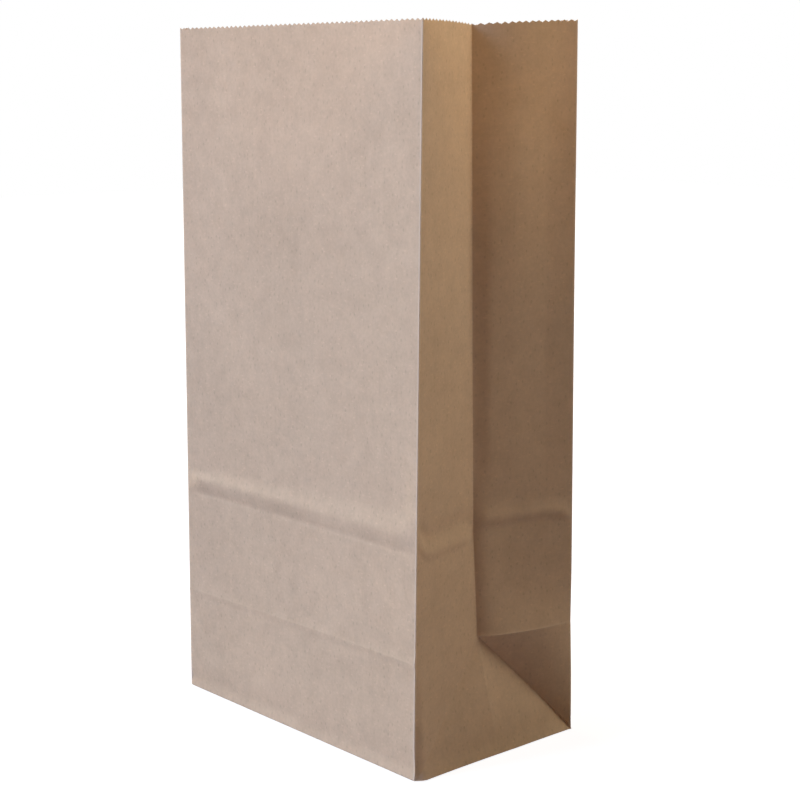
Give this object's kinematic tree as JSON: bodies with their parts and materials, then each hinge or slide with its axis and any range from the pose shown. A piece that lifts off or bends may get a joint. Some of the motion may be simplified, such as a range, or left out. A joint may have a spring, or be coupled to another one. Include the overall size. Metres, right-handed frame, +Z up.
{
  "type": "paper lunch bag",
  "caption": "Open standing paper lunch bag with broad panels, creased side gussets, a flat folded block bottom and a saw-tooth cut mouth.",
  "frame": {"origin": "middle of the base, on the surface that the bag stands on", "axes": "+Z up towards the mouth, +X across the broad panels, +Y from the front panel to the back panel with the lap joint"},
  "size_m": [0.1422, 0.0835, 0.27],
  "materials": {
    "kraft_paper": "machine-finished brown kraft paper, matt with a faint sheen"
  },
  "bodies": {
    "root": {"paper_bag": "kraft_paper"}
  },
  "joints": []
}
